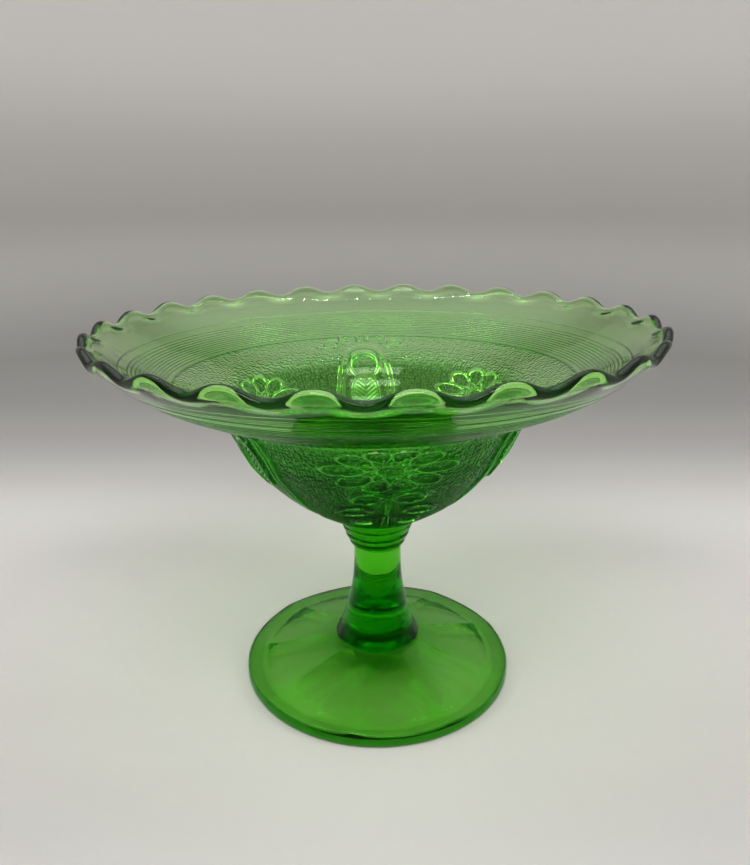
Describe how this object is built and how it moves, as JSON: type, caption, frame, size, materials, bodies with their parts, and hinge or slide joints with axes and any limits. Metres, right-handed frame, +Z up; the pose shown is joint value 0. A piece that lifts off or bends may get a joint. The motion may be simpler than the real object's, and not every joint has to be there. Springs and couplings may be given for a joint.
{
  "type": "footed glass dish",
  "caption": "Round footed dish in green uranium glass: flared bowl with a scalloped rim, ringed collar, solid flared stem and panelled foot.",
  "frame": {"origin": "on the stem's axis, on the surface that the foot stands on", "axes": "+Z up along the stem, -Y towards the front, +X to the right; the bowl and collar lean 0.9 degrees, right side up"},
  "size_m": [0.2038, 0.2028, 0.1449],
  "materials": {
    "bowl_glass": "clear yellow-green uranium glass, fire polished, with moulded relief",
    "collar_glass": "clear green uranium glass, fire polished",
    "stem_glass": "clear green uranium glass, fire polished",
    "foot_glass": "clear green uranium glass, fire polished, with a faint mould seam"
  },
  "bodies": {
    "root": {"bowl": "bowl_glass", "collar": "collar_glass", "stem": "stem_glass", "foot": "foot_glass"}
  },
  "joints": []
}
